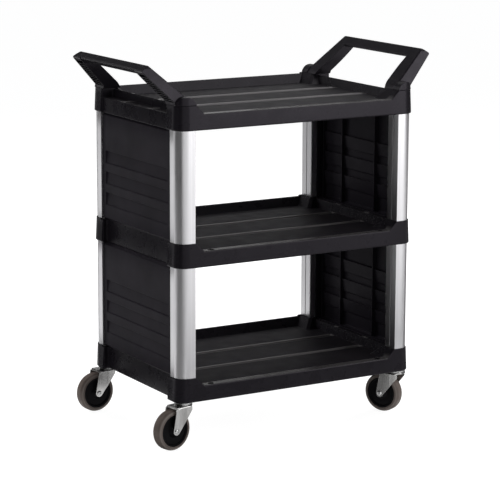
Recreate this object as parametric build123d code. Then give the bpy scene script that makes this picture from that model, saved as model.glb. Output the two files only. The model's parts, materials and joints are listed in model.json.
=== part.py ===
# Service cart: three moulded tray shelves on aluminium corner posts, closed ends,
# a push handle at each end and four swivel casters.
# Frame: +X along the cart, +Y to the back, +Z up, origin on the floor below the middle.
from build123d import *
import math
import os

os.makedirs("parts", exist_ok=True)

# Driving dimensions, in millimetres and degrees

# Shelf outline
shelf_length = 698.0
shelf_width = 473.0
shelf_pitch = 340.0
shelf_corner_radius = 33.0
shelf_draft = 2.5
shelf_wall = 3.5
lower_edge_radius = 3.0
lip_edge_radius = 3.0
rim_edge_radius = 2.5

# Heights above a shelf's lower edge
lip_height = 40.0
rim_height = 58.0
block_height = 61.0
deck_drop = 4.0

# Tray inside, measured from the shelf's outside at the top of the corner blocks
back_rim_inset = 7.0
end_rim_inset = 40.0
end_wall_slope = 0.35
block_inset_x = 54.0
block_inset_y = 60.0
block_bevel = 7.0
ledge_depth = 24.0

# Deck ridges and ribs under the deck
ridge_offset = 70.0
ridge_width = 13.0
ridge_height = 3.2
ridge_end_gap = 12.0
rib_thickness = 3.0
rib_lower_edge = 14.0
cross_rib_count = 5
long_rib_offset = 118.0

# Set-back ends between the corner blocks
end_gap = 348.0
end_setback = 19.0
top_end_setback = 6.0
top_ledge_height = 38.0
top_rim_thickness = 3.5
setback_radius = 8.0
setback_flare = 4.0

# Accessory holes in the front ledge
accessory_hole_radius = 8.0
accessory_hole_end_inset = 99.0
accessory_hole_inset = 13.5

# Posts
post_side = 46.0
post_inset = 5.0
post_corner_radius = 28.0
post_edge_radius = 2.0
post_wall = 2.2
post_engagement = 20.0
post_clearance = 0.2
groove_width = 3.0
groove_depth = 4.0

# End panels
panel_skin = 3.0
panel_depth = 23.5
panel_setback = 4.5
panel_bevel_run = 8.0
panel_bevel_rise = 7.0
panel_clearance = 0.3
louvre_count = 3
louvre_first = 41.0
louvre_pitch = 54.5
louvre_height = 33.5
louvre_recess = 5.0
louvre_sill_depth = 2.2
louvre_sill_rise = 3.2
louvre_border = 16.0
louvre_end_run = 6.0
panel_rib_spacing = 156.0
panel_rib_depth = 9.0
tongue_thickness = 2.4
tongue_length = 3.4

# Handles, measured from a post's axis and from the top of the corner blocks
grip_tip_reach = 102.0
grip_tip_height = 85.5
grip_top_reach = 80.5
grip_top_height = 99.0
grip_inner_reach = 54.0
grip_inner_height = 75.5
grip_lower_reach = 75.0
grip_lower_height = 71.5
grip_edge_radius = 4.0
grip_corner_radius = 12.0
arm_bend_reach = -4.0
arm_inner_foot_reach = -25.0
arm_foot_rounding = 2.0
arm_outer_foot_reach = 24.5
arm_outer_foot_height = 8.0
arm_top_inset = 54.0
arm_foot_inset = 20.5
arm_width_top = 34.0
arm_width_foot = 48.0
arm_inner_bulge = 7.0
arm_skin = 4.0
arm_rib_pitch = 6.2
arm_rib_thickness = 2.2
arm_edge_radius = 4.0
grip_tooth_pitch = 9.6
grip_tooth_width = 4.2
grip_tooth_depth = 2.0
dome_height = 21.0
dome_half_length = 26.0
dome_depth = 30.0
foot_seam_height = 1.0
foot_seam_depth = 1.0
peg_side = 30.0
peg_length = 24.0
peg_clearance = 0.2
handle_screw_radius = 3.0
handle_screw_head_radius = 5.5
handle_screw_head_height = 4.5
handle_screw_grip = 14.0

# Casters
caster_height = 118.0
wheel_radius = 51.0
wheel_trail = 38.0
tyre_width = 30.0
tyre_thickness = 10.5
tyre_shoulder = 9.0
core_rim_width = 27.0
core_rim_thickness = 4.0
core_web_thickness = 21.0
hub_radius = 10.5
hub_length = 35.0
stem_radius = 5.5
stem_length = 36.0
socket_radius = 10.0
socket_length = 38.0
flange_radius = 23.0
flange_thickness = 3.8
swivel_gap = 0.3
race_radius = 19.0
race_thickness = 2.8
pin_radius = 5.0
pin_head_radius = 9.0
pin_head_thickness = 2.6
running_clearance = 0.06
fork_thickness = 3.0
fork_gap = 38.0
fork_nose = 22.0
fork_tail = 37.0
fork_tail_radius = 6.0
leg_front = -13.0
leg_shoulder = 13.0
leg_crease = 9.0
leg_crease_depth = 2.2
leg_end_radius = 10.0
fork_bend_radius = 5.0
axle_radius = 4.0
sleeve_radius = 6.0
bolt_head_radius = 6.5
bolt_head_thickness = 3.5
nut_across_flats = 13.0
nut_thickness = 5.0
axle_tail = 2.0

# Rest heading of each caster's trail, seen from above
caster_heading = {
    "front_left": 191.0,
    "back_left": 185.5,
    "front_right": 115.5,
    "back_right": 169.0,
}

# Places worked out from the driving dimensions
half_length = shelf_length / 2
half_width = shelf_width / 2
post_x = half_length - post_inset - post_side / 2
post_y = half_width - post_inset - post_side / 2
bottom_level = caster_height
middle_level = bottom_level + shelf_pitch
top_level = middle_level + shelf_pitch
deck_height = lip_height - deck_drop
post_length = shelf_pitch - block_height + 2 * post_engagement
panel_height = shelf_pitch - rim_height - panel_clearance
panel_half_width = post_y - post_side / 2 - panel_clearance
panel_face_x = post_x + post_side / 2 - panel_setback
handle_seat = top_level + block_height
arm_half_span_top = half_width - arm_top_inset
arm_half_span_foot = half_width - arm_foot_inset
wheel_core_radius = wheel_radius - tyre_thickness
fork_top = caster_height - flange_thickness - swivel_gap - race_thickness
fork_width = fork_gap + 2 * fork_thickness

# Corner name, its side of the cart and the turn that points a post's round edge outwards
corners = {
    "back_right": (1, 1, 0),
    "back_left": (-1, 1, 90),
    "front_left": (-1, -1, 180),
    "front_right": (1, -1, 270),
}


def at_corner(name, height=0.0):
    """Place of a corner's post axis, turned so that local +X +Y points out of the cart."""
    side_x, side_y, turn = corners[name]
    return Location((side_x * post_x, side_y * post_y, height), (0, 0, turn))


def box_between(low, high):
    """Box from its lowest to its highest corner."""
    size = [b - a for a, b in zip(low, high)]
    return Pos(*low) * Box(*size, align=(Align.MIN, Align.MIN, Align.MIN))


def both_ends(shape):
    """A shape at the right-hand end together with its turned copy at the left-hand end."""
    return shape + Rot(0, 0, 180) * shape


# Posts


def post_outline(grow=0.0):
    """Square section with one large round edge, about the post's axis."""
    side = post_side + 2 * grow
    outline = Rectangle(side, side)
    ranked = outline.vertices().sort_by(Axis((0, 0, 0), (1, 1, 0)))
    outline = fillet(ranked[-1], post_corner_radius + grow)
    ranked = outline.vertices().sort_by(Axis((0, 0, 0), (1, 1, 0)))
    return fillet([ranked[0]], post_edge_radius)


def make_post():
    """Hollow extrusion with a panel groove along the middle of each inner face."""
    section = post_outline()
    section -= Pos(-post_side / 2, 0) * Rectangle(2 * groove_depth, groove_width)
    section -= Pos(0, -post_side / 2) * Rectangle(groove_width, 2 * groove_depth)
    hollow = offset(section, amount=-post_wall, kind=Kind.INTERSECTION)
    return extrude(section - hollow, amount=post_length)


# Shelves


def shelf_blank(inset=0.0, height=block_height):
    """Rounded rectangle with moulding draft, narrowed all round by an inset."""
    outline = RectangleRounded(
        shelf_length - 2 * inset, shelf_width - 2 * inset, shelf_corner_radius - inset
    )
    return extrude(outline, amount=height, taper=shelf_draft)


def tray_outline(height, front_y, grow=0.0):
    """Inner edge of the rims and corner blocks at a height, closed along the front."""
    drop = block_height - height
    block_x = half_length - block_inset_x - drop + grow
    block_y = half_width - block_inset_y - drop + grow
    end_x = half_length - end_rim_inset - end_wall_slope * drop + grow
    back_y = half_width - back_rim_inset - drop + grow
    right = [
        (block_x, front_y),
        (block_x, -block_y - block_bevel),
        (block_x + block_bevel, -block_y),
        (end_x, -block_y),
        (end_x, block_y),
        (block_x + block_bevel, block_y),
        (block_x, block_y + block_bevel),
        (block_x, back_y),
    ]
    left = [(-x, y) for x, y in reversed(right)]
    return Pos(0, 0, height) * Polygon(*right, *left)


def tray_space(grow=0.0):
    """Room above the deck, with sloped sides, open to the front above the lip."""
    slope_grow = grow * math.sqrt(2)
    ledge_y = -half_width + ledge_depth - grow
    open_y = -half_width - shelf_wall
    top = block_height + 1
    sunk_deck = loft(
        [tray_outline(deck_height - grow, ledge_y, slope_grow), tray_outline(top, ledge_y, slope_grow)],
        ruled=True,
    )
    open_front = loft(
        [tray_outline(lip_height - grow, open_y, slope_grow), tray_outline(top, open_y, slope_grow)],
        ruled=True,
    )
    return sunk_deck + open_front


def end_setback_space(face_x, floor, grow=0.0):
    """Room outside a set-back end face, between two corner blocks, from a floor upwards."""
    inner_x = face_x - grow
    flare_x = half_length - setback_flare
    outer_x = half_length + setback_flare
    inner_y = end_gap / 2 + grow
    outer_y = inner_y + outer_x - flare_x
    plan = Polygon(
        (inner_x, -inner_y),
        (flare_x, -inner_y),
        (outer_x, -outer_y),
        (outer_x, outer_y),
        (flare_x, outer_y - outer_x + flare_x),
        (inner_x, inner_y),
    )
    inner_corners = plan.vertices().group_by(Axis.X)[0]
    plan = fillet(inner_corners, min(setback_radius, (flare_x - inner_x) / 2))
    return both_ends(Pos(0, 0, floor) * extrude(plan, amount=block_height + 1 - floor))


def rim_trim():
    """Thin layer taken off the rims between the corner blocks."""
    back_x = half_length - block_inset_x - block_bevel
    end_y = end_gap / 2
    back = box_between((-back_x, 0, rim_height), (back_x, half_width + 1, block_height + 1))
    ends = box_between((-half_length - 1, -end_y, rim_height), (half_length + 1, end_y, block_height + 1))
    return back + ends


def panel_seats():
    """Notches in the corner blocks' tops for the lower corners of the end panels."""
    seat_y = post_y - post_side / 2
    inner_x = panel_face_x - panel_depth - panel_clearance
    return both_ends(box_between((inner_x, -seat_y, rim_height), (half_length + 1, seat_y, block_height + 1)))


def corner_cores():
    """Full-height corners that carry the post sockets."""
    core_x = half_length - block_inset_x - block_height + lip_height
    core_y = half_width - block_inset_y - block_height + lip_height
    core = box_between((core_x, core_y, -1), (half_length, half_width, block_height))
    pair = core + mirror(core, about=Plane.XZ)
    return pair + mirror(pair, about=Plane.YZ)


def deck_ridges():
    """Two low rounded ridges along the deck."""
    wall_run = end_wall_slope * (block_height - deck_height)
    ridge_half = half_length - end_rim_inset - wall_run - ridge_end_gap
    radius = (ridge_width**2 / 4 + ridge_height**2) / (2 * ridge_height)
    ridges = Part()
    for side in (-1, 1):
        rod = Rot(0, 90, 0) * Cylinder(radius, 2 * ridge_half)
        rod = Pos(0, side * ridge_offset, deck_height + ridge_height - radius) * rod
        ridges += rod
    above = box_between((-ridge_half, -half_width, deck_height - 1), (ridge_half, half_width, block_height))
    return ridges & above


def rib_slabs():
    """Upright slabs of the rib grid below the deck."""
    slabs = Part()
    for side in (-1, 0, 1):
        slabs += Pos(0, side * long_rib_offset, rib_lower_edge + block_height / 2) * Box(
            shelf_length, rib_thickness, block_height
        )
    rib_pitch = 2 * (half_length - block_inset_x) / (cross_rib_count + 1)
    for index in range(cross_rib_count):
        x = (index - (cross_rib_count - 1) / 2) * rib_pitch
        slabs += Pos(x, 0, rib_lower_edge + block_height / 2) * Box(rib_thickness, shelf_width, block_height)
    return slabs


def on_front_edge(edge):
    """True for the edge of the open front: along the lip and up both corner blocks."""
    slope = math.tan(math.radians(shelf_draft))
    block_x = half_length - block_inset_x
    for t in (0, 0.25, 0.5, 0.75, 1):
        point = edge.position_at(t)
        if abs(point.Y + half_width - slope * point.Z) > 0.02:
            return False
        if point.Z < lip_height - 0.01 or abs(point.X) > block_x + 0.01:
            return False
    return True


def on_back_rim(edge):
    """True for the two long edges along the top of the back rim."""
    points = [edge.position_at(t) for t in (0, 0.5, 1)]
    level = all(abs(point.Z - rim_height) < 0.01 for point in points)
    behind = all(point.Y > half_width - 2 * back_rim_inset for point in points)
    return level and behind and edge.length > half_length


def make_shelf(spaces, sunk_spaces, sockets, accessory_holes):
    """Tray shelf: drafted blank less the tray, the set-back ends, the ribbed underside and the sockets."""
    shelf = shelf_blank()
    shelf = fillet(shelf.edges().group_by(Axis.Z)[0], lower_edge_radius)
    underside = shelf_blank(shelf_wall, rim_height - shelf_wall)
    underside -= tray_space(shelf_wall)
    for space in sunk_spaces:
        underside -= space
    underside -= corner_cores()
    underside -= rib_slabs()
    shelf -= underside
    shelf -= tray_space()
    shelf -= rim_trim()
    for space in spaces:
        shelf -= space
    shelf = fillet(shelf.edges().filter_by(on_front_edge), lip_edge_radius)
    shelf = fillet(shelf.edges().filter_by(on_back_rim), rim_edge_radius)
    shelf += deck_ridges()
    for socket in sockets:
        shelf -= socket
    if accessory_holes:
        for side in (-1, 1):
            x = side * (half_length - accessory_hole_end_inset)
            hole = Cylinder(accessory_hole_radius, 4 * shelf_wall)
            shelf -= Pos(x, -half_width + accessory_hole_inset, lip_height) * hole
    return shelf


def corner_cuts(cut):
    """One cut repeated at the four corners."""
    return [at_corner(name) * cut for name in corners]


def make_shelves():
    """The three shelves at their levels."""
    pocket = extrude(post_outline(post_clearance), amount=post_engagement + 1)
    upper_pocket = Pos(0, 0, block_height - post_engagement) * pocket
    lower_pocket = Pos(0, 0, -1) * pocket
    stem_bore = Pos(0, 0, socket_length / 2) * Cylinder(socket_radius + post_clearance, socket_length + 2)
    peg_hole_side = peg_side + 2 * peg_clearance
    peg_hole = box_between(
        (-peg_hole_side / 2, -peg_hole_side / 2, block_height - peg_length - peg_clearance),
        (peg_hole_side / 2, peg_hole_side / 2, block_height + 1),
    )
    screw_hole = Pos(0, 0, block_height / 2) * Cylinder(handle_screw_radius + peg_clearance, block_height / 2)

    set_back = end_setback_space(half_length - end_setback, -1)
    set_back_wall = end_setback_space(half_length - end_setback, -1, shelf_wall)
    fascia = end_setback_space(half_length - top_end_setback, -1)
    fascia_wall = end_setback_space(half_length - top_end_setback, -1, shelf_wall)
    rim_drop = end_wall_slope * (block_height - rim_height)
    rim_outside = half_length - end_rim_inset - rim_drop + top_rim_thickness
    ledge = end_setback_space(rim_outside, top_ledge_height)
    ledge_wall = end_setback_space(rim_outside, top_ledge_height - shelf_wall, shelf_wall)

    seats = panel_seats()
    bottom = make_shelf(
        [set_back, seats], [set_back_wall], corner_cuts(upper_pocket) + corner_cuts(stem_bore), True
    )
    middle = make_shelf(
        [set_back, seats], [set_back_wall], corner_cuts(upper_pocket) + corner_cuts(lower_pocket), True
    )
    top = make_shelf(
        [fascia, ledge],
        [fascia_wall, ledge_wall],
        corner_cuts(lower_pocket) + corner_cuts(peg_hole) + corner_cuts(screw_hole),
        False,
    )
    return {
        "bottom_shelf": Pos(0, 0, bottom_level) * bottom,
        "middle_shelf": Pos(0, 0, middle_level) * middle,
        "top_shelf": Pos(0, 0, top_level) * top,
    }


# End panels


def panel_edges(with_louvres):
    """Outer and inner edge of the panel's upright section, bevelled above and below."""
    skin_x = panel_face_x - panel_skin
    outer = [(panel_face_x - panel_bevel_run, 0), (panel_face_x, panel_bevel_rise)]
    inner = [(skin_x - panel_bevel_run, 0), (skin_x, panel_bevel_rise)]
    if with_louvres:
        for index in range(louvre_count):
            low = louvre_first + index * louvre_pitch
            high = low + louvre_height
            sill = low + louvre_sill_rise
            outer += [(panel_face_x, low), (panel_face_x - louvre_sill_depth, sill)]
            outer += [(panel_face_x - louvre_recess, high), (panel_face_x, high)]
            high += panel_skin
            inner += [(skin_x, low), (skin_x - louvre_sill_depth, sill)]
            inner += [(skin_x - louvre_recess, high), (skin_x, high)]
    outer += [(panel_face_x, panel_height - panel_bevel_rise), (panel_face_x - panel_bevel_run, panel_height)]
    inner += [(skin_x, panel_height - panel_bevel_rise), (skin_x - panel_bevel_run, panel_height)]
    return outer, inner


def panel_strip(points, middle_y, width):
    """Upright section in X and Z, extruded to a strip of some width."""
    strip = extrude(Plane.XZ * Polygon(*points), amount=width / 2, both=True)
    return Pos(0, middle_y, 0) * strip


def make_panel():
    """End panel at the right-hand end: louvred skin, sloped louvre ends, edge flange, ribs and tongues."""
    louvre_half = panel_half_width - louvre_border
    inner_x = panel_face_x - panel_depth
    edge_x = panel_face_x - panel_bevel_run
    rib_x = panel_face_x - panel_skin - panel_rib_depth
    outer, inner = panel_edges(True)
    panel = panel_strip(outer + inner[::-1], 0, 2 * louvre_half)
    floor_x = panel_face_x - louvre_recess
    ramp = extrude(
        Polygon((panel_face_x, louvre_half), (floor_x, louvre_half), (floor_x, louvre_half - louvre_end_run)),
        amount=louvre_height,
    )
    for index in range(louvre_count):
        end = Pos(0, 0, louvre_first + index * louvre_pitch) * ramp
        panel += end
        panel += mirror(end, about=Plane.XZ)
    rib = inner + [(rib_x, panel_height), (rib_x, 0)]
    plain_outer, plain_inner = panel_edges(False)
    border = plain_outer + plain_inner[::-1]
    cheek = plain_outer + [(rib_x, panel_height), (rib_x, 0)]
    flange = plain_outer + [(inner_x, panel_height), (inner_x, 0)]
    for low in (0, panel_height - panel_skin):
        panel += box_between((inner_x, -panel_half_width, low), (edge_x, panel_half_width, low + panel_skin))
    for side in (-1, 1):
        panel += panel_strip(rib, side * panel_rib_spacing / 2, panel_skin)
        panel += panel_strip(border, side * (panel_half_width - louvre_border / 2), louvre_border)
        panel += panel_strip(cheek, side * (louvre_half + panel_skin / 2), panel_skin)
        panel += panel_strip(flange, side * (panel_half_width - panel_skin / 2), panel_skin)
        tongue_y = side * (panel_half_width + tongue_length / 2)
        panel += box_between(
            (post_x - tongue_thickness / 2, tongue_y - tongue_length / 2, panel_skin),
            (post_x + tongue_thickness / 2, tongue_y + tongue_length / 2, panel_height - panel_skin),
        )
    return panel


# Handles


def arm_plan(inset):
    """Upright outline of both arms seen along the cart, narrowing towards the grip."""
    outer_foot = arm_half_span_foot - inset
    outer_top = arm_half_span_top - inset
    inner_foot = arm_half_span_foot - arm_width_foot + inset
    inner_top = arm_half_span_top - arm_width_top + inset
    inner_middle = (inner_foot + inner_top) / 2 - arm_inner_bulge
    edge = Polyline(
        (inner_foot, 0), (outer_foot, 0), (outer_top, grip_top_height), (inner_top, grip_top_height)
    )
    edge += ThreePointArc((inner_top, grip_top_height), (inner_middle, grip_top_height / 2), (inner_foot, 0))
    arm = extrude(Plane.YZ * make_face(edge), amount=2 * grip_tip_reach, both=True)
    return arm + mirror(arm, about=Plane.XZ)


def grip_span():
    """Upright outline of the whole handle between the arms' outer sides."""
    outline = Polygon(
        (-arm_half_span_foot, 0),
        (arm_half_span_foot, 0),
        (arm_half_span_top, grip_top_height),
        (-arm_half_span_top, grip_top_height),
    )
    outline = fillet(outline.vertices().group_by(Axis.Y)[-1], grip_corner_radius)
    return extrude(Plane.YZ * outline, amount=2 * grip_tip_reach, both=True)


def along_width(outline):
    """Side outline in X and Z, extruded over the whole width."""
    return extrude(Plane.XZ * outline, amount=half_width, both=True)


def grip_slots():
    """Gaps between the teeth along the grip's lower face, each opening into the hollow behind it."""
    run = grip_tip_reach - grip_lower_reach
    rise = grip_tip_height - grip_lower_height
    length = math.hypot(run, rise)
    along = (run / length, rise / length)

    def inside(distance, depth):
        """Point at a distance along the lower face and a depth into the grip."""
        x = grip_lower_reach + distance * along[0] - depth * along[1]
        return (x, grip_lower_height + distance * along[1] + depth * along[0])

    wall = arm_skin + grip_edge_radius / 2
    outline = Polygon(
        inside(-length, -length),
        inside(2 * length, -length),
        inside(2 * length, grip_tooth_depth),
        inside(length - 1.5 * wall, grip_tooth_depth),
        inside(length - 1.5 * wall, 1.5 * wall),
        inside(wall, 2 * wall),
        inside(wall, grip_tooth_depth),
        inside(-length, grip_tooth_depth),
    )
    clear_half = arm_half_span_top - arm_width_top - arm_skin
    count = int(2 * clear_half / grip_tooth_pitch)
    slots = Part()
    for index in range(count):
        y = (index - (count - 1) / 2) * grip_tooth_pitch
        slot = extrude(Plane.XZ * outline, amount=(grip_tooth_pitch - grip_tooth_width) / 2, both=True)
        slots += Pos(0, y, 0) * slot
    return slots


def arm_edge_flats(slope):
    """Stock outside two flats that round the arms' outer upper edges about a radius."""
    rise = math.atan(slope)
    lean = math.atan((arm_half_span_foot - arm_half_span_top) / grip_top_height)
    upper = Vector(-math.sin(rise), 0, math.cos(rise))
    side = Vector(0, math.cos(lean), math.sin(lean))
    edge = Vector(grip_inner_reach - grip_inner_height / slope, arm_half_span_foot, 0)
    centre = edge - (upper + side) * (arm_edge_radius / (1 + upper.dot(side)))
    stock = Part()
    for share in (1 / 3, 2 / 3):
        facing = (upper * (1 - share) + side * share).normalized()
        flat = Plane(origin=centre + facing * arm_edge_radius, z_dir=facing)
        stock += extrude(flat * Rectangle(2 * shelf_width, 2 * shelf_width), amount=arm_width_foot)
    return stock + mirror(stock, about=Plane.XZ)


def make_handle():
    """Handle at the right-hand end, about the post axis line and the corner blocks' tops."""
    grip_outline = Polygon(
        (grip_inner_reach, grip_inner_height),
        (grip_lower_reach, grip_lower_height),
        (grip_tip_reach, grip_tip_height),
        (grip_top_reach, grip_top_height),
    )
    grip_outline = fillet(grip_outline.vertices(), grip_edge_radius)
    grip_slope = (grip_top_height - grip_inner_height) / (grip_top_reach - grip_inner_reach)
    arm_bend_height = grip_inner_height - grip_slope * (grip_inner_reach - arm_bend_reach)
    foot_run = arm_bend_reach - arm_inner_foot_reach
    foot_chord = math.hypot(foot_run, arm_bend_height)
    foot_middle = (
        arm_inner_foot_reach + foot_run / 2 - arm_foot_rounding * arm_bend_height / foot_chord,
        arm_bend_height / 2 + arm_foot_rounding * foot_run / foot_chord,
    )
    arm_edge = Polyline(
        (arm_inner_foot_reach, 0),
        (arm_outer_foot_reach, 0),
        (arm_outer_foot_reach, arm_outer_foot_height),
        (grip_tip_reach, grip_tip_height),
        (grip_top_reach, grip_top_height),
        (arm_bend_reach, arm_bend_height),
    )
    arm_edge += ThreePointArc((arm_bend_reach, arm_bend_height), foot_middle, (arm_inner_foot_reach, 0))
    arm_outline = make_face(arm_edge)
    upper = [arm_outline.vertices().sort_by(Axis.X)[-1], arm_outline.vertices().sort_by(Axis.Y)[-1]]
    arm_outline = fillet(upper, grip_edge_radius)
    channel_outline = Polygon(
        (arm_bend_reach + 2 * arm_skin, arm_bend_height),
        (arm_outer_foot_reach - arm_skin, arm_outer_foot_height),
        (grip_tip_reach, arm_outer_foot_height),
        (grip_tip_reach + arm_skin, grip_tip_height),
        (grip_tip_reach, grip_tip_height - 2 * arm_skin),
        (grip_inner_reach + 2 * arm_skin, grip_inner_height - arm_skin),
    )
    arms = (along_width(arm_outline) & arm_plan(0)) - arm_edge_flats(grip_slope)
    channel = along_width(channel_outline) & arm_plan(arm_skin)
    for index in range(int((grip_lower_height - arm_outer_foot_height) / arm_rib_pitch)):
        low = arm_outer_foot_height + (index + 0.5) * arm_rib_pitch
        channel -= box_between(
            (-grip_tip_reach, -half_width, low), (2 * grip_tip_reach, half_width, low + arm_rib_thickness)
        )
    handle = arms - channel
    middle_span = arm_half_span_top - arm_width_top / 2
    grip = extrude(Plane.XZ * grip_outline, amount=middle_span, both=True) - grip_slots()
    handle += grip - arm_plan(0)
    handle &= grip_span()

    dome_radius = (dome_half_length**2 + dome_height**2) / (2 * dome_height)
    dome = Rot(90, 0, 0) * Cylinder(dome_radius, shelf_width)
    dome = Pos(0, 0, dome_height - dome_radius) * dome
    cap_inset = block_height * math.tan(math.radians(shelf_draft))
    cap = Pos(-post_x, 0, 0) * extrude(
        RectangleRounded(
            shelf_length - 2 * cap_inset, shelf_width - 2 * cap_inset, shelf_corner_radius - cap_inset
        ),
        amount=dome_radius,
    )
    cap &= dome
    seam_inset = cap_inset + foot_seam_depth
    seam = Pos(-post_x, 0, 0) * extrude(
        RectangleRounded(
            shelf_length - 2 * seam_inset, shelf_width - 2 * seam_inset, shelf_corner_radius - seam_inset
        ),
        amount=foot_seam_height,
    )
    cap -= box_between((-shelf_length, -half_width, -1), (half_length, half_width, foot_seam_height)) - seam
    cap -= box_between(
        (-shelf_length, -half_width + dome_depth, -1), (shelf_length, half_width - dome_depth, shelf_length)
    )
    handle += cap
    for side in (-1, 1):
        peg = box_between(
            (-peg_side / 2, side * post_y - peg_side / 2, -peg_length),
            (peg_side / 2, side * post_y + peg_side / 2, 0),
        )
        pilot = Pos(0, side * post_y, -peg_length) * Cylinder(
            handle_screw_radius, 2 * handle_screw_grip, align=(Align.CENTER, Align.CENTER, Align.CENTER)
        )
        handle += peg
        handle -= pilot
    return Pos(post_x, 0, handle_seat) * handle


def make_handle_screws():
    """Four pan-head screws that pull the handles' pegs down from inside the post ends."""
    head_top = top_level + post_engagement
    shank_top = handle_seat - peg_length + handle_screw_grip - peg_clearance
    shank_length = shank_top - head_top
    screws = []
    for name in corners:
        head = Pos(0, 0, head_top - handle_screw_head_height / 2) * Cylinder(
            handle_screw_head_radius, handle_screw_head_height
        )
        shank = Pos(0, 0, head_top + shank_length / 2) * Cylinder(handle_screw_radius, shank_length)
        screws.append(at_corner(name) * (head + shank))
    return Compound(children=screws)


# Casters, built with the trail along +X and the stem's axis at the origin


def revolved(points):
    """Solid of revolution about Z from points given as radius and height."""
    return revolve(Plane.XZ * Polygon(*points), Axis.Z)


def make_socket():
    """Sleeve in the bottom shelf that grips the stem."""
    sleeve = Cylinder(socket_radius, socket_length) - Cylinder(stem_radius + running_clearance, socket_length)
    return Pos(0, 0, caster_height + socket_length / 2) * sleeve


def make_stem():
    """Stem, round flange and riveted swivel pin in one turned piece."""
    flange_low = caster_height - flange_thickness
    head_top = fork_top - fork_thickness - swivel_gap
    edge = flange_thickness / 3
    tip = stem_radius / 3
    return revolved(
        [
            (0, head_top - pin_head_thickness),
            (pin_head_radius - tip, head_top - pin_head_thickness),
            (pin_head_radius, head_top - pin_head_thickness / 2),
            (pin_head_radius, head_top),
            (pin_radius, head_top),
            (pin_radius, flange_low),
            (flange_radius - edge, flange_low),
            (flange_radius, flange_low + edge),
            (flange_radius, caster_height - edge),
            (flange_radius - edge, caster_height),
            (stem_radius, caster_height),
            (stem_radius, caster_height + stem_length - tip),
            (stem_radius - tip, caster_height + stem_length),
            (0, caster_height + stem_length),
        ]
    )


def make_race():
    """Swivel bearing ring between the flange and the fork."""
    hole = pin_radius + running_clearance
    edge = race_thickness / 4
    return revolved(
        [
            (hole, fork_top),
            (race_radius, fork_top),
            (race_radius, fork_top + race_thickness - edge),
            (race_radius - edge, fork_top + race_thickness),
            (hole, fork_top + race_thickness),
        ]
    )


def make_fork():
    """Pressed steel fork: rounded top plate bent down into two creased, tapering legs with round ends."""
    plate_low = fork_top - fork_thickness
    leg_low = wheel_radius - leg_end_radius
    half_outside = fork_width / 2
    section = Pos(0, (fork_top + leg_low) / 2) * Rectangle(fork_width, fork_top - leg_low)
    section = fillet(section.vertices().group_by(Axis.Y)[-1], fork_bend_radius)
    hollow = Pos(0, (plate_low + leg_low) / 2) * Rectangle(fork_gap, plate_low - leg_low)
    section -= fillet(hollow.vertices().group_by(Axis.Y)[-1], fork_bend_radius - fork_thickness)
    channel = extrude(Plane.YZ * section, amount=2 * (fork_tail + fork_nose), both=True)
    leg_end = Pos(wheel_trail, wheel_radius) * Circle(leg_end_radius)
    leg_top = Polyline(
        (leg_front, fork_top - leg_shoulder), (leg_front, fork_top), (fork_tail, fork_top)
    )
    side = make_hull(leg_end.edges() + leg_top.edges())
    side -= Pos(wheel_trail, wheel_radius) * Circle(axle_radius + running_clearance)
    strip = Rectangle(fork_nose + fork_tail, fork_thickness)
    side += Pos((fork_tail - fork_nose) / 2, fork_top - fork_thickness / 2) * strip
    plate = Pos((fork_tail - fork_nose) / 2, 0) * Rectangle(fork_nose + fork_tail, fork_width)
    plate = fillet(plate.vertices().group_by(Axis.X)[0], fork_nose - fork_thickness)
    plate = fillet(plate.vertices().group_by(Axis.X)[-1], fork_tail_radius)
    plate -= Circle(pin_radius + running_clearance)
    legs = Polygon(
        (-fork_nose, leg_crease_depth - half_outside),
        (leg_crease, -half_outside),
        (wheel_trail + 2 * leg_end_radius, -half_outside),
        (wheel_trail + 2 * leg_end_radius, half_outside),
        (leg_crease, half_outside),
        (-fork_nose, half_outside - leg_crease_depth),
    )
    plan = extrude(plate, amount=fork_top + 1)
    plan &= box_between(
        (-fork_nose, -fork_width, fork_top - fork_bend_radius), (2 * fork_tail, fork_width, fork_top + 1)
    )
    plan += extrude(legs, amount=fork_top - fork_bend_radius)
    return channel & extrude(Plane.XZ * side, amount=fork_width, both=True) & plan


def on_axle(shape):
    """Turn a shape built about Z so that its axis lies along the axle."""
    return Pos(wheel_trail, 0, wheel_radius) * Rot(-90, 0, 0) * shape


def make_axle_bolt():
    """Axle bolt with a low dimpled head on one side and a plain tail on the other."""
    grip = fork_width / 2
    crown = bolt_head_thickness / 2
    dimple = bolt_head_radius / 3
    return on_axle(
        revolved(
            [
                (0, -grip - nut_thickness - axle_tail),
                (axle_radius, -grip - nut_thickness - axle_tail),
                (axle_radius, grip),
                (bolt_head_radius, grip),
                (bolt_head_radius, grip + crown / 2),
                (bolt_head_radius - crown / 2, grip + 1.5 * crown),
                (bolt_head_radius - 1.5 * crown, grip + bolt_head_thickness),
                (dimple + crown / 2, grip + bolt_head_thickness),
                (dimple, grip + crown),
                (0, grip + crown),
            ]
        )
    )


def make_axle_nut():
    """Hexagon nut on the bolt's tail."""
    hexagon = RegularPolygon(nut_across_flats / 2, 6, major_radius=False)
    hexagon -= Circle(axle_radius + running_clearance)
    nut = extrude(hexagon, amount=nut_thickness)
    return on_axle(Pos(0, 0, -fork_width / 2 - nut_thickness) * nut)


def make_axle_sleeve():
    """Plain sleeve clamped between the legs, which the wheel turns on."""
    length = fork_gap
    sleeve = Cylinder(sleeve_radius, length) - Cylinder(axle_radius + running_clearance, length)
    return on_axle(sleeve)


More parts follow.
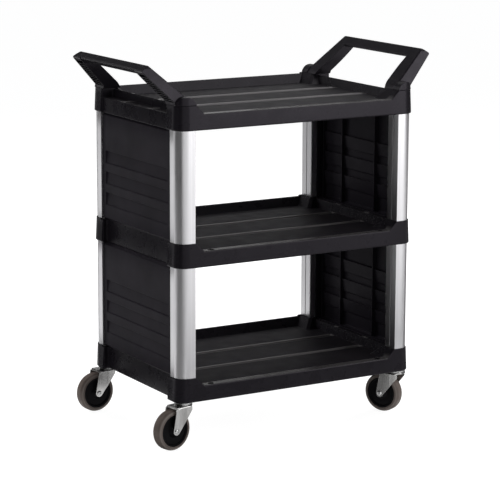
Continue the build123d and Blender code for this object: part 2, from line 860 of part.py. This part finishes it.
def make_wheel_core():
    """Hub, thick dished web and rim in one moulding."""
    bore = sleeve_radius + running_clearance
    rim_inner = wheel_core_radius - core_rim_thickness
    hub_foot = hub_radius + (hub_length - core_web_thickness) / 2
    half = [
        (bore, hub_length / 2),
        (hub_radius, hub_length / 2),
        (hub_foot, core_web_thickness / 2),
        (rim_inner - core_rim_thickness / 2, core_web_thickness / 2),
        (rim_inner, core_rim_width / 2),
        (wheel_core_radius, core_rim_width / 2),
    ]
    return on_axle(revolved(half + [(r, -h) for r, h in reversed(half)]))


def make_tyre():
    """Solid tyre with large round shoulders."""
    middle_radius = (wheel_radius + wheel_core_radius) / 2
    section = Pos(middle_radius, 0) * Rectangle(tyre_thickness, tyre_width)
    section = fillet(section.vertices().group_by(Axis.X)[-1], tyre_shoulder)
    return on_axle(revolve(Plane.XZ * section, Axis.Z))


def make_caster():
    """All pieces of one caster, by node name."""
    return {
        "stem_socket": make_socket(),
        "stem": make_stem(),
        "swivel_race": make_race(),
        "fork": make_fork(),
        "axle_bolt": make_axle_bolt(),
        "axle_nut": make_axle_nut(),
        "axle_sleeve": make_axle_sleeve(),
        "wheel_core": make_wheel_core(),
        "tyre": make_tyre(),
    }


# All nodes

nodes = make_shelves()

post = make_post()
for corner_name in corners:
    lower_start = bottom_level + block_height - post_engagement
    upper_start = middle_level + block_height - post_engagement
    nodes[f"lower_post_{corner_name}"] = at_corner(corner_name, lower_start) * post
    nodes[f"upper_post_{corner_name}"] = at_corner(corner_name, upper_start) * post

panel = make_panel()
for level_name, level in (("lower", bottom_level), ("upper", middle_level)):
    seated = Pos(0, 0, level + rim_height) * panel
    nodes[f"{level_name}_panel_right"] = seated
    nodes[f"{level_name}_panel_left"] = Rot(0, 0, 180) * seated

handle = make_handle()
nodes["handle_right"] = handle
nodes["handle_left"] = Rot(0, 0, 180) * handle
nodes["handle_screws"] = make_handle_screws()

caster = make_caster()
for corner_name, heading in caster_heading.items():
    side_x, side_y, corner_turn = corners[corner_name]
    place = Location((side_x * post_x, side_y * post_y, 0), (0, 0, heading))
    for piece_name, piece in caster.items():
        # The back right axle bolt goes in from the other side
        handed = mirror(piece, about=Plane.XZ) if corner_name == "back_right" else piece
        nodes[f"{piece_name}_{corner_name}"] = place * handed

for node_name, node in nodes.items():
    export_step(node, f"parts/{node_name}.step")
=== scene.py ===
# %% [markdown]
# A service cart with three moulded shelves, eight aluminium posts, four end panels, two handles
# and four swivel casters. Its sizes and moving bodies already exist as a packed construction
# model. The cart could be drawn again by eye in Blender, but two models soon drift apart. So this
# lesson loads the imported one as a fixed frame, and adds only finishes, lamps and a camera to it.

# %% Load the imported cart
import json
import math

import bpy
from mathutils import Matrix, Vector

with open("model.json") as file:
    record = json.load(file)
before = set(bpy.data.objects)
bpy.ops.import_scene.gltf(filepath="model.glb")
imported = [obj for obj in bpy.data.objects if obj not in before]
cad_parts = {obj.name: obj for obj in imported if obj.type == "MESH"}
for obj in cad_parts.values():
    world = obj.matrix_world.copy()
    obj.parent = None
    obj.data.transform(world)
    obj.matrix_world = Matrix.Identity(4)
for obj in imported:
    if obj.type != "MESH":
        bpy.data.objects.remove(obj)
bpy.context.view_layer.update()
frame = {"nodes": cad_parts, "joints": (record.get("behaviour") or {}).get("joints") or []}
nodes = frame["nodes"]

# %% [markdown]
# The cart stands turned, so that its long open side and its left end both show. A camera can be
# placed by trial and error, but here its bearing, height and lens come from the shelf corners,
# post edges and wheels seen in the picture. A long lens from almost six metres keeps the
# uprights nearly parallel, so no lens shift is needed.

# %% Camera
AIM = Vector((-0.00566, 0.0, 0.46255))
DISTANCE = 5.73695
BEARING = math.radians(-30.69)
HEIGHT_ANGLE = math.radians(11.146)
TILT = math.radians(0.237)
LENS = 158.26
CLIP_END = 200.0

toward_camera = Vector((
    math.sin(BEARING) * math.cos(HEIGHT_ANGLE),
    -math.cos(BEARING) * math.cos(HEIGHT_ANGLE),
    math.sin(HEIGHT_ANGLE),
))
turn = Matrix.Rotation(BEARING, 4, "Z") @ Matrix.Rotation(math.pi / 2 - HEIGHT_ANGLE, 4, "X")
turn = turn @ Matrix.Rotation(TILT, 4, "Z")
bpy.ops.object.select_all(action="DESELECT")
bpy.ops.object.camera_add(location=AIM + DISTANCE * toward_camera, rotation=turn.to_euler())
camera = bpy.context.object
camera.name = "picture_camera"
camera.data.lens = LENS
camera.data.clip_end = CLIP_END
bpy.context.scene.camera = camera
bpy.context.scene.view_settings.view_transform = "Standard"
print("camera at", tuple(round(c, 3) for c in camera.location))

# %% [markdown]
# A few helpers keep the node trees short. `finish` starts a material with its shader, `add` puts
# in a node and fills its sockets, and `maths` does one sum. The same trees could be wired by hand
# in the shader editor, but a short function can be read, and used again for the next finish.

# %% Node helpers
def finish(name):
    """A new node material, its tree and its shader."""
    material = bpy.data.materials.new(name)
    material.use_nodes = True
    tree = material.node_tree
    return material, tree, tree.nodes["Principled BSDF"]


def add(tree, kind, sockets=None, **settings):
    """One node, with values set or outputs linked on its input sockets."""
    node = tree.nodes.new(kind)
    for key, value in settings.items():
        setattr(node, key, value)
    for key, value in (sockets or {}).items():
        if isinstance(value, bpy.types.NodeSocket):
            tree.links.new(value, node.inputs[key])
        else:
            node.inputs[key].default_value = value
    return node


def maths(tree, operation, first, second=0.0, **settings):
    """One sum on two values."""
    node = add(tree, "ShaderNodeMath", {0: first, 1: second}, operation=operation, **settings)
    return node.outputs[0]


print("node helpers ready")

# %% [markdown]
# Real skins are never one flat tone, so most finishes start from a noise. It could be a picture
# wrapped round the piece, but `object_noise` reads Object coordinates, so it sticks to the piece
# and needs no file. The other helpers turn it into a range of values or a run of colours.

# %% Noise and colour helpers
def object_noise(tree, scale, detail=4.0, roughness=0.55, stretch=(1.0, 1.0, 1.0)):
    """Noise fixed to the piece, stretched along its axes."""
    mapping = add(tree, "ShaderNodeMapping", {
        "Vector": add(tree, "ShaderNodeTexCoord").outputs["Object"],
        "Scale": stretch,
    })
    noise = add(tree, "ShaderNodeTexNoise", {
        "Vector": mapping.outputs["Vector"],
        "Scale": scale,
        "Detail": detail,
        "Roughness": roughness,
    })
    return noise.outputs["Fac"]


def spread(tree, value, low, high, start=0.3, end=0.7):
    """A value mapped from start..end onto low..high."""
    node = add(tree, "ShaderNodeMapRange", {
        "Value": value, "From Min": start, "From Max": end, "To Min": low, "To Max": high,
    })
    return node.outputs["Result"]


def two_tones(tree, value, dark, light, start=0.35, end=0.65):
    """A colour that runs from dark to light with a noise value."""
    ramp = add(tree, "ShaderNodeValToRGB", {"Fac": value})
    first, last = ramp.color_ramp.elements
    first.position, first.color = start, (*dark, 1.0)
    last.position, last.color = end, (*light, 1.0)
    return ramp.outputs["Color"]


def blend_colours(tree, amount, first, second):
    """First colour where amount is 0, second where it is 1."""
    mix = add(tree, "ShaderNodeMix", data_type="RGBA")
    tree.links.new(amount, mix.inputs[0])
    tree.links.new(first, mix.inputs[6])
    mix.inputs[7].default_value = (*second, 1.0)
    return mix.outputs[2]


print("noise and colour helpers ready")

# %% [markdown]
# Moulded and pressed edges are slightly round and catch the light, and skins have a fine relief.
# A Bevel modifier would round the mesh itself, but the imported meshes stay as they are, so the
# edges are rounded in the shading. A mask can then find these edges, or the faces that look up.

# %% Edge and relief helpers
BEVEL_SAMPLES = 6
EDGE_SHARP, EDGE_FLAT = 0.8, 0.98


def rounded_normal(tree, radius):
    """Normals rounded over the edges."""
    return add(tree, "ShaderNodeBevel", {"Radius": radius}, samples=BEVEL_SAMPLES).outputs["Normal"]


def edge_mask(tree, rounded):
    """A mask that is 1 where the rounded normal leaves the face's own."""
    face = add(tree, "ShaderNodeNewGeometry").outputs["Normal"]
    match = add(tree, "ShaderNodeVectorMath", {0: rounded, 1: face}, operation="DOT_PRODUCT")
    return spread(tree, match.outputs["Value"], 1.0, 0.0, EDGE_SHARP, EDGE_FLAT)


def facing_up(tree, start, end):
    """A mask that is 1 on faces that look up."""
    face = add(tree, "ShaderNodeNewGeometry").outputs["Normal"]
    up = add(tree, "ShaderNodeSeparateXYZ", {"Vector": face}).outputs["Z"]
    return spread(tree, up, 0.0, 1.0, start, end)


def relief(tree, shader, height, strength, distance, normal):
    """A fine bump over a normal, linked to the shader."""
    bump = add(tree, "ShaderNodeBump", {
        "Strength": strength, "Distance": distance, "Height": height, "Normal": normal,
    })
    tree.links.new(bump.outputs["Normal"], shader.inputs["Normal"])


print("edge and relief helpers ready")

# %% [markdown]
# The cart stands in a white studio with no horizon. A curved backdrop would do it, but a large
# flat floor that looks white to the camera is simpler. Its own colour is a pale grey that takes
# the cart's shadow, and Light Path adds the missing brightness for camera and mirror rays only,
# so that the floor throws no extra light on the cart.

# %% White floor
WHITE = (1.0, 1.0, 1.0, 1.0)
FLOOR_SIZE = 80.0
BOUNCE_TONE = 0.72
FLOOR_TONE = 0.32
FLOOR_GLOW = 0.905


def grey(tone):
    """A neutral colour."""
    return (tone, tone, tone, 1.0)


def seen_rays(tree):
    """1 for rays that show a thing to the camera: straight, mirrored or through glass."""
    rays = add(tree, "ShaderNodeLightPath").outputs
    seen = maths(tree, "ADD", rays["Is Camera Ray"], rays["Is Glossy Ray"])
    return maths(tree, "ADD", seen, rays["Is Transmission Ray"], use_clamp=True)


bpy.ops.object.select_all(action="DESELECT")
bpy.ops.mesh.primitive_plane_add(size=FLOOR_SIZE, location=(0.0, 0.0, 0.0))
floor = bpy.context.object
floor.name = "studio_floor"
floor_paint = bpy.data.materials.new("white_floor")
floor_paint.use_nodes = True
tree = floor_paint.node_tree
tree.nodes.clear()
matt = add(tree, "ShaderNodeBsdfDiffuse", {"Color": grey(BOUNCE_TONE)})
shade = add(tree, "ShaderNodeBsdfDiffuse", {"Color": grey(FLOOR_TONE)})
glow = add(tree, "ShaderNodeEmission", {"Color": WHITE, "Strength": FLOOR_GLOW})
white = add(tree, "ShaderNodeAddShader", {0: shade.outputs[0], 1: glow.outputs[0]})
paint = add(tree, "ShaderNodeMixShader", {
    0: seen_rays(tree), 1: matt.outputs[0], 2: white.outputs[0],
})
add(tree, "ShaderNodeOutputMaterial", {"Surface": paint.outputs[0]})
floor_paint.cycles.emission_sampling = "NONE"
floor.data.materials.append(floor_paint)
print("floor", FLOOR_SIZE, "m wide")

# %% [markdown]
# Soft light comes from all round, so the world itself is a pale even light. Seen directly, and in
# metal, it is plain white. A high dynamic range picture could light the cart too, but it would
# need a file, and a plain world keeps the black mouldings readable from every side.

# %% World
FILL = 0.27
FILL_TINT = (0.97, 0.98, 1.0, 1.0)

world = bpy.data.worlds.new("white_studio")
bpy.context.scene.world = world
world.use_nodes = True
tree = world.node_tree
tree.nodes.clear()
fill = add(tree, "ShaderNodeBackground", {"Color": FILL_TINT, "Strength": FILL})
white = add(tree, "ShaderNodeBackground", {"Color": WHITE, "Strength": 1.0})
sky = add(tree, "ShaderNodeMixShader", {
    0: seen_rays(tree), 1: fill.outputs[0], 2: white.outputs[0],
})
add(tree, "ShaderNodeOutputWorld", {"Surface": sky.outputs[0]})
print("world fill", FILL)

# %% [markdown]
# Five softboxes light the cart. The key stands front right and lights the long side, and a broad
# one hangs overhead for the decks. Three more keep the back and the two ends readable, and they
# stay out of reflections, so that the metal posts keep clean bands. Point lamps would give hard
# shadows, so each lamp is a large area that faces the cart.

# %% Softboxes
CART_MIDDLE = (0.0, 0.0, 0.5)
SIDE_BOX_SIZE = 2.0


def softbox(name, place, target, width, height, power):
    """A rectangular area lamp at place, facing target."""
    aim = (Vector(target) - Vector(place)).to_track_quat("-Z", "Y").to_euler()
    bpy.ops.object.light_add(type="AREA", location=place, rotation=aim)
    lamp = bpy.context.object
    lamp.name = name
    lamp.data.shape = "RECTANGLE"
    lamp.data.size = width
    lamp.data.size_y = height
    lamp.data.energy = power
    return lamp


softbox("key_box", (1.9, -3.0, 1.60), (0.1, 0.0, 0.8), width=1.8, height=2.2, power=46.0)
softbox("top_box", (1.2, 0.3, 3.3), (0.1, 0.0, 0.6), width=1.9, height=1.9, power=22.0)
for name, place, power in (
    ("back_box", (-0.8, 3.2, 1.6), 105.0),
    ("right_box", (3.2, 0.9, 1.0), 110.0),
    ("left_box", (-3.2, 0.6, 1.4), 22.0),
):
    side_box = softbox(name, place, CART_MIDDLE, SIDE_BOX_SIZE, SIDE_BOX_SIZE, power)
    side_box.visible_glossy = False
print("five softboxes")

# %% [markdown]
# In a room that is white all round, black mouldings mirror white and turn grey. A photographer
# stands dark boards, called flags, round the object for it to mirror instead. Real boards would
# also throw shadows and hide the white ground, so each card here shows only in glossy
# reflections. Its tone is how bright it looks there.

# %% Flag helper
def flag(name, place, target, width, height, tone):
    """A grey card that shows only in reflections."""
    aim = (Vector(target) - Vector(place)).to_track_quat("Z", "Y").to_euler()
    bpy.ops.object.select_all(action="DESELECT")
    bpy.ops.mesh.primitive_plane_add(size=1.0, location=place, rotation=aim)
    card = bpy.context.object
    card.name = name
    card.scale = (width, height, 1.0)
    bpy.ops.object.transform_apply(location=True, rotation=True, scale=True)
    paint = bpy.data.materials.new(name + "_cloth")
    paint.use_nodes = True
    tree = paint.node_tree
    tree.nodes.clear()
    cloth = add(tree, "ShaderNodeEmission", {"Color": WHITE, "Strength": tone})
    add(tree, "ShaderNodeOutputMaterial", {"Surface": cloth.outputs[0]})
    paint.cycles.emission_sampling = "NONE"
    card.data.materials.append(paint)
    card.visible_camera = False
    card.visible_diffuse = False
    card.visible_shadow = False
    card.visible_transmission = False


def hang(cards):
    """One card for each row of name, place, target, width, height and tone."""
    for name, place, target, width, height, tone in cards:
        flag(name, place, target, width, height, tone)
    print(len(cards), "cards, from", cards[0][0], "to", cards[-1][0])


print("flag helper ready")

# %% [markdown]
# First comes a dim room: walls, a ceiling and boards behind the cart. The decks are seen at a
# low angle and mirror what stands low behind them, so that wall is split into a lighter middle
# and dark ends, which fades the decks towards the right. One big box could be the room, but
# separate cards can each have a tone.

# %% Room of cards
hang((
    ("left_wall", (-4.6, 0.6, 2.6), (0.0, 0.6, 2.6), 8.0, 3.6, 0.05),
    ("right_wall", (4.6, 0.6, 1.6), (0.0, 0.6, 1.6), 8.0, 3.2, 0.05),
    ("ceiling", (0.0, 0.0, 4.4), (0.0, 0.0, 0.0), 9.2, 9.2, 0.05),
    ("back_wall", (-0.45, 4.6, 3.2), (-0.45, 0.0, 3.2), 6.9, 2.4, 0.10),
    ("back_low_wall", (0.5, 4.55, 1.25), (0.5, 0.0, 1.25), 5.0, 1.5, 0.30),
    ("back_left_wall", (-3.3, 4.5, 1.3), (-3.3, 0.0, 1.3), 2.6, 1.6, 0.03),
    ("back_right_wall", (4.05, 4.4, 1.35), (4.05, 0.0, 1.35), 2.9, 1.7, 0.02),
))

# %% [markdown]
# A few bright cards hang in that room. They draw the light lines along the deck ridges, the louvre
# sills and the back rim. The lines could be painted on, but then they would stay put as the view
# moves; on the ridges and the front ledge a pale painted highlight is added all the same, in the
# shelf finish.

# %% Bright cards
hang((
    ("ridge_card", (2.5, 4.4, 3.2), (2.5, 0.0, 3.2), 1.6, 2.4, 1.6),
    ("sill_card", (-2.15, 4.3, 2.9), (0.0, 0.0, 0.6), 1.3, 1.4, 1.2),
    ("rim_card", (-0.4, 4.3, 3.1), (0.0, 0.0, 0.6), 2.2, 1.4, 0.20),
))

# %% [markdown]
# Upright faces of the cart are seen from above, so they mirror the floor. Cards laid on it set
# how bright the ends, the skirts and the casters look. Two upright ones beside the left end put
# the dark band on the rounded front post, as a flag does in a studio. The floor could be painted
# in patches instead, but then the camera would see them.

# %% Cards on the floor and at the left
hang((
    ("left_flag", (-2.6, -1.55, 0.9), (0.0, 0.0, 0.6), 2.0, 2.6, 0.01),
    ("end_flag", (-2.6, 0.5, 0.6), (0.0, 0.3, 0.6), 2.0, 1.8, 0.01),
    ("left_low_flag", (-1.7, -1.1, 0.01), (-1.7, -1.1, 1.0), 2.4, 2.4, 0.30),
    ("end_low_flag", (-2.9, 4.2, 0.01), (-2.9, 4.2, 1.0), 4.6, 7.6, 1.10),
    ("low_flag", (0.7, -0.89, 0.01), (0.7, -0.89, 1.0), 2.2, 0.42, 0.01),
    # The card under the cart is a painted shadow: it stands for the cart's own shade on the floor,
    # which the glowing floor doesn't show in reflections.
    ("under_cart_shadow_card", (-0.28, -0.12, 0.008), (-0.28, -0.12, 1.0), 0.40, 0.26, 0.20),
    ("fork_flag", (0.05, -0.16, 0.007), (0.05, -0.16, 1.0), 0.32, 0.16, 0.24),
    ("front_fork_flag", (-0.15, -0.41, 0.008), (-0.15, -0.41, 1.0), 0.32, 0.24, 0.72),
    ("right_low_flag", (2.2, 0.9, 0.01), (2.2, 0.9, 1.0), 3.2, 2.8, 0.20),
))

# %% [markdown]
# Small cards, which a studio calls cutters, stand close to the posts and rims. They darken the
# inner face of a post or the end of a shelf, which would otherwise mirror the white ground.
# Darker finishes could do that too, but they would be dark from every side.

# %% Cutters
hang((
    ("back_flag", (-0.27, 0.8, 0.45), (-0.27, 0.0, 0.45), 0.36, 1.3, 0.01),
    ("lower_bay_flag", (0.235, -0.10, 0.315), (0.235, -0.2, 0.315), 0.10, 0.25, 0.02),
    ("upper_bay_flag", (0.235, -0.10, 0.655), (0.235, -0.2, 0.655), 0.10, 0.25, 0.02),
    ("top_cutter", (-0.43, 0.165, 0.788), (-0.30, 0.165, 0.788), 0.50, 0.09, 0.03),
    ("middle_cutter", (-0.43, 0.165, 0.448), (-0.30, 0.165, 0.448), 0.50, 0.09, 0.03),
    ("bottom_cutter", (-0.43, 0.165, 0.108), (-0.30, 0.165, 0.108), 0.50, 0.09, 0.03),
))

# %% [markdown]
# Most of the cart is black moulded plastic. Up close its skin has a faint mottle, a fine grain,
# a slightly uneven gloss and pale scuffs along the edges. A picture texture could carry all
# this, but noise nodes stay sharp at any size, so one helper builds them for every moulding.

# %% Black moulded plastic
MOTTLE_SCALE, GLOSS_SCALE, SCUFF_SCALE = 9.0, 24.0, 60.0
GRAIN_STRENGTH, GRAIN_DEPTH = 0.08, 0.0003
TOP_START, TOP_END = 0.7, 0.95
PLASTIC_TINT = (0.95, 0.88, 1.0, 1.0)


def moulded_black(name, dark, light, grain, rough, edge_radius, edge_tone, specular, top_dulling):
    """Black moulded plastic: the material, its tone and a mask of its upper faces."""
    material, tree, shader = finish(name)
    normal = rounded_normal(tree, edge_radius)
    tone = two_tones(tree, object_noise(tree, MOTTLE_SCALE, detail=6.0), dark, light)
    scuff = object_noise(tree, SCUFF_SCALE, detail=5.0)
    scuff = maths(tree, "MULTIPLY", edge_mask(tree, normal), scuff)
    tone = blend_colours(tree, scuff, tone, edge_tone)
    tree.links.new(tone, shader.inputs["Base Color"])
    speckle = object_noise(tree, grain, detail=3.0)
    relief(tree, shader, speckle, GRAIN_STRENGTH, GRAIN_DEPTH, normal)
    gloss = spread(tree, object_noise(tree, GLOSS_SCALE, detail=6.0), *rough)
    on_top = facing_up(tree, TOP_START, TOP_END)
    dull = maths(tree, "ADD", gloss, maths(tree, "MULTIPLY", on_top, top_dulling))
    tree.links.new(dull, shader.inputs["Roughness"])
    shader.inputs["Specular IOR Level"].default_value = specular
    shader.inputs["Specular Tint"].default_value = PLASTIC_TINT
    return material, tone, on_top


print("moulded plastic helper ready")

# %% [markdown]
# Shelves are structural foam. Sliding loads leave faint streaks that run along the decks, and
# the deck skin is duller than the sides. The streaks could be painted by hand, but a noise that
# is squeezed across the cart gives them on all three shelves at once.

# %% Shelf plastic
STREAK_TONE = (0.0150, 0.0132, 0.0142)
STREAK_STRETCH = (1.0, 55.0, 1.0)

shelf_black, tone, on_deck = moulded_black(
    "shelf_black",
    dark=(0.0080, 0.0070, 0.0090),
    light=(0.0110, 0.0097, 0.0124),
    grain=900.0,
    rough=(0.24, 0.32),
    edge_radius=0.0022,
    edge_tone=(0.024, 0.022, 0.025),
    specular=0.14,
    top_dulling=0.37,
)
tree = shelf_black.node_tree
streaks = object_noise(tree, 6.0, detail=8.0, roughness=0.7, stretch=STREAK_STRETCH)
streaks = spread(tree, streaks, 0.0, 1.0, start=0.4, end=0.75)
tone = blend_colours(tree, maths(tree, "MULTIPLY", on_deck, streaks), tone, STREAK_TONE)
print("shelf plastic with streaks")

# %% [markdown]
# Loads ride on the two low ridges of each deck and pass over its front ledge, so these places are
# rubbed smooth, which lowers their roughness. Their paler colour is a painted highlight, which
# stands in for the light lines that the ridges and the ledge mirror. A mask picks them out by their
# distance from the cart's middle, and upward faces only. Vertex paint could mark them too, but the
# mask needs no change to the mesh.

# %% Ridges and ledge: rubbed gloss and painted highlight
RIDGE_OFFSET = 0.070
RIDGE_FULL, RIDGE_NONE = 0.0064, 0.0104
LEDGE_FULL, LEDGE_NONE = -0.2135, -0.2115
LEDGE_END_FULL, LEDGE_END_NONE = 0.276, 0.284
LEDGE_SHARE = 0.45
UP_START, UP_END = 0.45, 0.55
HIGHLIGHT_STRETCH = (1.0, 20.0, 1.0)
RIDGE_HIGHLIGHT_TONE = (0.140, 0.132, 0.133)
RUBBED_SMOOTHING = 0.46

shader = tree.nodes["Principled BSDF"]
spot = add(tree, "ShaderNodeTexCoord").outputs["Object"]
spot = add(tree, "ShaderNodeSeparateXYZ", {"Vector": spot}).outputs
along, across = (maths(tree, "ABSOLUTE", spot[axis]) for axis in "XY")
from_ridge = maths(tree, "ABSOLUTE", maths(tree, "SUBTRACT", across, RIDGE_OFFSET))
ridge = spread(tree, from_ridge, 1.0, 0.0, RIDGE_FULL, RIDGE_NONE)
ledge = maths(
    tree, "MULTIPLY",
    spread(tree, spot["Y"], 1.0, 0.0, LEDGE_FULL, LEDGE_NONE),
    spread(tree, along, 1.0, 0.0, LEDGE_END_FULL, LEDGE_END_NONE),
)
upward = facing_up(tree, UP_START, UP_END)
highlight_breakup = object_noise(tree, 14.0, detail=5.0, roughness=0.6, stretch=HIGHLIGHT_STRETCH)
highlight_breakup = maths(tree, "MULTIPLY", upward, spread(tree, highlight_breakup, 0.6, 1.0))
pale = maths(tree, "MAXIMUM", ridge, maths(tree, "MULTIPLY", ledge, LEDGE_SHARE))
# The pale tone on the ridges and on part of the ledge is a painted highlight, broken up along its
# length by a noise.
tone = blend_colours(tree, maths(tree, "MULTIPLY", pale, highlight_breakup), tone, RIDGE_HIGHLIGHT_TONE)
tree.links.new(tone, shader.inputs["Base Color"])
rubbed_and_highlit = maths(tree, "MULTIPLY", maths(tree, "MAXIMUM", ridge, ledge), upward)
rough = shader.inputs["Roughness"].links[0].from_socket
smooth = maths(tree, "SUBTRACT", rough, maths(tree, "MULTIPLY", rubbed_and_highlit, RUBBED_SMOOTHING))
tree.links.new(smooth, shader.inputs["Roughness"])
print("ridges and ledge rubbed")

# %% [markdown]
# A finish goes on a piece through its material slot, which leaves the mesh alone. Slots could be
# filled by hand in the properties editor, but the pieces have plain names, so one helper dresses
# all pieces whose names start alike.

# %% Dress the shelves
def dress(material, *starts):
    """Puts a finish on every node whose name starts with one of the words."""
    count = 0
    for name, piece in nodes.items():
        if name.startswith(starts):
            piece.material_slots[0].material = material
            count += 1
    print(material.name, "on", count, "nodes")


dress(shelf_black, "bottom_shelf", "middle_shelf", "top_shelf")

# %% [markdown]
# End panels and handles are the same black plastic. One shared finish would do, but the panels
# have a dull skin that nobody touches, and the grips are polished by hands, so each gets its own
# gloss and grain.

# %% Panel and handle finish
panel_black, _, _ = moulded_black(
    "panel_black",
    dark=(0.0120, 0.0106, 0.0137),
    light=(0.0157, 0.0137, 0.0178),
    grain=700.0,
    rough=(0.36, 0.44),
    edge_radius=0.0015,
    edge_tone=(0.028, 0.026, 0.030),
    specular=0.025,
    top_dulling=0.1,
)
handle_black, _, _ = moulded_black(
    "handle_black",
    dark=(0.0080, 0.0070, 0.0090),
    light=(0.0110, 0.0097, 0.0124),
    grain=1100.0,
    rough=(0.26, 0.34),
    edge_radius=0.0020,
    edge_tone=(0.024, 0.022, 0.025),
    specular=0.20,
    top_dulling=0.25,
)
dress(panel_black, "lower_panel", "upper_panel")
dress(handle_black, "handle_right", "handle_left")

# %% [markdown]
# Wheel cores and stem sockets are hard black plastic that nobody touches, so they have the same
# grain as the shelves with less shine. The shelf finish would do, but it would carry the deck
# streaks along.

# %% Core and socket finish
core_black, _, _ = moulded_black(
    "core_black",
    dark=(0.004, 0.004, 0.0042),
    light=(0.006, 0.006, 0.0063),
    grain=900.0,
    rough=(0.34, 0.42),
    edge_radius=0.001,
    edge_tone=(0.012, 0.012, 0.012),
    specular=0.05,
    top_dulling=0.0,
)
dress(core_black, "wheel_core", "stem_socket")

# %% [markdown]
# The posts are extruded aluminium with a satin anodised skin. Extrusion leaves very fine upright
# lines, so the noise is squeezed across the post and stretched along it. An anisotropic shader
# could blur the gloss the same way, but the lines also show in the colour and the relief.

# %% Post finish
POST_DARK, POST_LIGHT = (0.55, 0.545, 0.56), (0.625, 0.62, 0.635)
POST_ROUGH = (0.31, 0.37)
POST_EDGE = 0.0008
LINE_STRETCH = (900.0, 900.0, 0.4)
LINE_STRENGTH, LINE_DEPTH = 0.04, 0.0002

satin_aluminium, tree, shader = finish("satin_aluminium")
shader.inputs["Metallic"].default_value = 1.0
lines = object_noise(tree, 1.0, detail=2.0, roughness=0.5, stretch=LINE_STRETCH)
tree.links.new(two_tones(tree, lines, POST_DARK, POST_LIGHT), shader.inputs["Base Color"])
cloud = object_noise(tree, 14.0)
tree.links.new(spread(tree, cloud, *POST_ROUGH), shader.inputs["Roughness"])
relief(tree, shader, lines, LINE_STRENGTH, LINE_DEPTH, rounded_normal(tree, POST_EDGE))
dress(satin_aluminium, "lower_post", "upper_post")

# %% [markdown]
# Caster forks are pressed steel with a bright zinc plating, and the axle parts and screws are
# plain plated steel. A plain mirror would do for new chrome, but zinc has a faint cloud of
# crystals, so the roughness and the tone both follow a noise. On the forks it is drawn out into
# upright streaks.

# %% Zinc and steel
STEEL_EDGE = 0.0006
PLATING_STRENGTH, PLATING_DEPTH = 0.015, 0.0002
GLOSS_FINENESS = 2.5


def plated_steel(name, dark, light, rough, crystal, draw=1.0):
    """Plated steel with a cloud in tone and gloss, drawn out upwards where draw is small."""
    material, tree, shader = finish(name)
    shader.inputs["Metallic"].default_value = 1.0
    cloud = object_noise(tree, crystal, detail=5.0, stretch=(1.0, 1.0, draw))
    tree.links.new(two_tones(tree, cloud, dark, light), shader.inputs["Base Color"])
    gloss = spread(tree, object_noise(tree, crystal * GLOSS_FINENESS), *rough)
    tree.links.new(gloss, shader.inputs["Roughness"])
    relief(tree, shader, cloud, PLATING_STRENGTH, PLATING_DEPTH, rounded_normal(tree, STEEL_EDGE))
    return material


caster_zinc = plated_steel(
    "caster_zinc",
    dark=(0.38, 0.375, 0.37),
    light=(0.56, 0.555, 0.55),
    rough=(0.16, 0.24),
    crystal=55.0,
    draw=0.15,
)
race_steel = plated_steel(
    "race_steel",
    dark=(0.44, 0.44, 0.44),
    light=(0.52, 0.52, 0.52),
    rough=(0.28, 0.36),
    crystal=60.0,
)
axle_steel = plated_steel(
    "axle_steel",
    dark=(0.42, 0.42, 0.42),
    light=(0.56, 0.56, 0.56),
    rough=(0.22, 0.34),
    crystal=260.0,
)
dress(caster_zinc, "fork")
dress(race_steel, "swivel_race", "stem_back", "stem_front")
dress(axle_steel, "axle_bolt", "axle_nut", "axle_sleeve", "handle_screws")

# %% [markdown]
# Tyres are grey-brown thermoplastic rubber. Rubber is dull and picks up dust, so it has a soft
# noise in its tone and a high roughness. A paler ring all the way round the shoulder is a painted
# highlight. One finish can't be centred on four axles, so each wheel gets its own, placed by its
# spin joint.

# %% Tyre finish
SIDE_EDGE, SHOULDER, TREAD_EDGE = 0.0435, 0.0465, 0.0492
RUBBER_DARK, RUBBER_LIGHT = (0.090, 0.070, 0.061), (0.130, 0.103, 0.090)
SHOULDER_HIGHLIGHT_TONE = (0.200, 0.170, 0.152)
RUBBER_ROUGH = (0.55, 0.75)
RUBBER_EDGE = 0.0012
RUBBER_STRENGTH, RUBBER_DEPTH = 0.2, 0.0003


def axle_distance(tree, joint):
    """Distance of a spot from a joint's axis."""
    spot = add(tree, "ShaderNodeTexCoord").outputs["Object"]
    arm = add(tree, "ShaderNodeVectorMath", {0: spot, 1: joint["pos_m"]}, operation="SUBTRACT")
    arm = add(tree, "ShaderNodeVectorMath", {0: arm.outputs[0], 1: joint["axis"]},
              operation="CROSS_PRODUCT")
    length = add(tree, "ShaderNodeVectorMath", {0: arm.outputs[0]}, operation="LENGTH")
    return length.outputs["Value"]


def tyre_rubber(corner):
    """Dusty rubber with a painted highlight ring on the shoulder, centred on one caster's wheel."""
    material, tree, shader = finish("tyre_rubber_" + corner)
    spin = next(row for row in frame["joints"] if row["name"] == "wheel_spin_" + corner)
    radius = axle_distance(tree, spin)
    rubbed_and_highlit = maths(
        tree, "MULTIPLY",
        spread(tree, radius, 0.0, 1.0, SIDE_EDGE, SHOULDER),
        spread(tree, radius, 1.0, 0.0, SHOULDER, TREAD_EDGE),
    )
    rubber = two_tones(tree, object_noise(tree, 45.0, detail=6.0), RUBBER_DARK, RUBBER_LIGHT)
    # The paler shoulder ring is a painted highlight.
    rubber = blend_colours(tree, rubbed_and_highlit, rubber, SHOULDER_HIGHLIGHT_TONE)
    tree.links.new(rubber, shader.inputs["Base Color"])
    dust = spread(tree, object_noise(tree, 90.0), *RUBBER_ROUGH)
    tree.links.new(dust, shader.inputs["Roughness"])
    pores = object_noise(tree, 1200.0, detail=2.0)
    relief(tree, shader, pores, RUBBER_STRENGTH, RUBBER_DEPTH, rounded_normal(tree, RUBBER_EDGE))
    return material


for corner in ("back_right", "back_left", "front_left", "front_right"):
    dress(tyre_rubber(corner), "tyre_" + corner)
